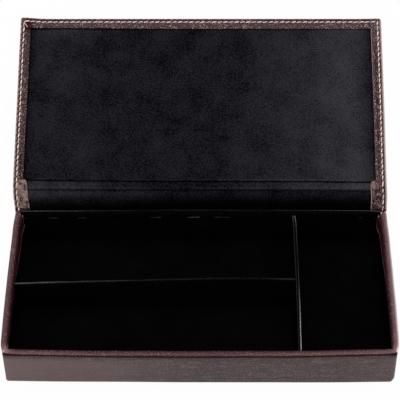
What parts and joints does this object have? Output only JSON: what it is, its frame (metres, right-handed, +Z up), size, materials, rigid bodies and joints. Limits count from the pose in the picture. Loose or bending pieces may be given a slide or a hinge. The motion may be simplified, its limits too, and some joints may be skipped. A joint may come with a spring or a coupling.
{
  "type": "lidded desk organizer",
  "caption": "Shallow leather-covered desk tray with suede-lined compartments and a book-style lid on a folding spine, standing open",
  "frame": {"origin": "centre of the tray's underside, on the plane it stands on", "axes": "+Z up, +X to the right of someone facing the open front, +Y to the back, where the cover is hinged"},
  "size_m": [0.2736, 0.2775, 0.0796],
  "materials": {
    "leather": "brown pebbled leather, semi-matt",
    "suede": "black suede lining, very matt",
    "fibreboard": "plain thin fibreboard core",
    "base_cloth": "dark base cloth"
  },
  "bodies": {
    "tray": {"base_panel": "base_cloth", "case_leather": "leather", "floor_board": "fibreboard", "front_board": "fibreboard", "left_board": "fibreboard", "right_board": "fibreboard", "back_board": "fibreboard", "rim_front": "leather", "rim_left": "leather", "rim_right": "leather", "front_lining": "suede", "left_lining": "suede", "right_lining": "suede", "back_lining": "suede", "floor_lining_rear": "suede", "floor_lining_front": "suede", "floor_lining_right": "suede", "cross_divider_board": "fibreboard", "cross_divider_suede": "suede", "long_divider_board": "fibreboard", "long_divider_suede": "suede", "base_crease_leather": "leather"},
    "spine": {"spine_board": "fibreboard", "spine_leather": "leather", "spine_lining": "suede", "lid_crease_leather": "leather", "lid_crease_suede": "suede"},
    "lid": {"lid_board": "fibreboard", "lid_leather": "leather", "lid_lining": "suede"}
  },
  "joints": [
    {"name": "spine_hinge", "type": "hinge", "parent": "tray", "child": "spine", "pos_m": [0, 0.0659, 0.0025], "axis": [1, 0, 0], "range_deg": [-22, 40], "deforming": ["base_crease_leather"]},
    {"name": "lid_hinge", "type": "hinge", "parent": "spine", "child": "lid", "pos_m": [0, 0.08898, 0.03], "axis": [1, 0, 0], "range_deg": [-6, 119.5], "deforming": ["lid_crease_leather", "lid_crease_suede"]}
  ]
}
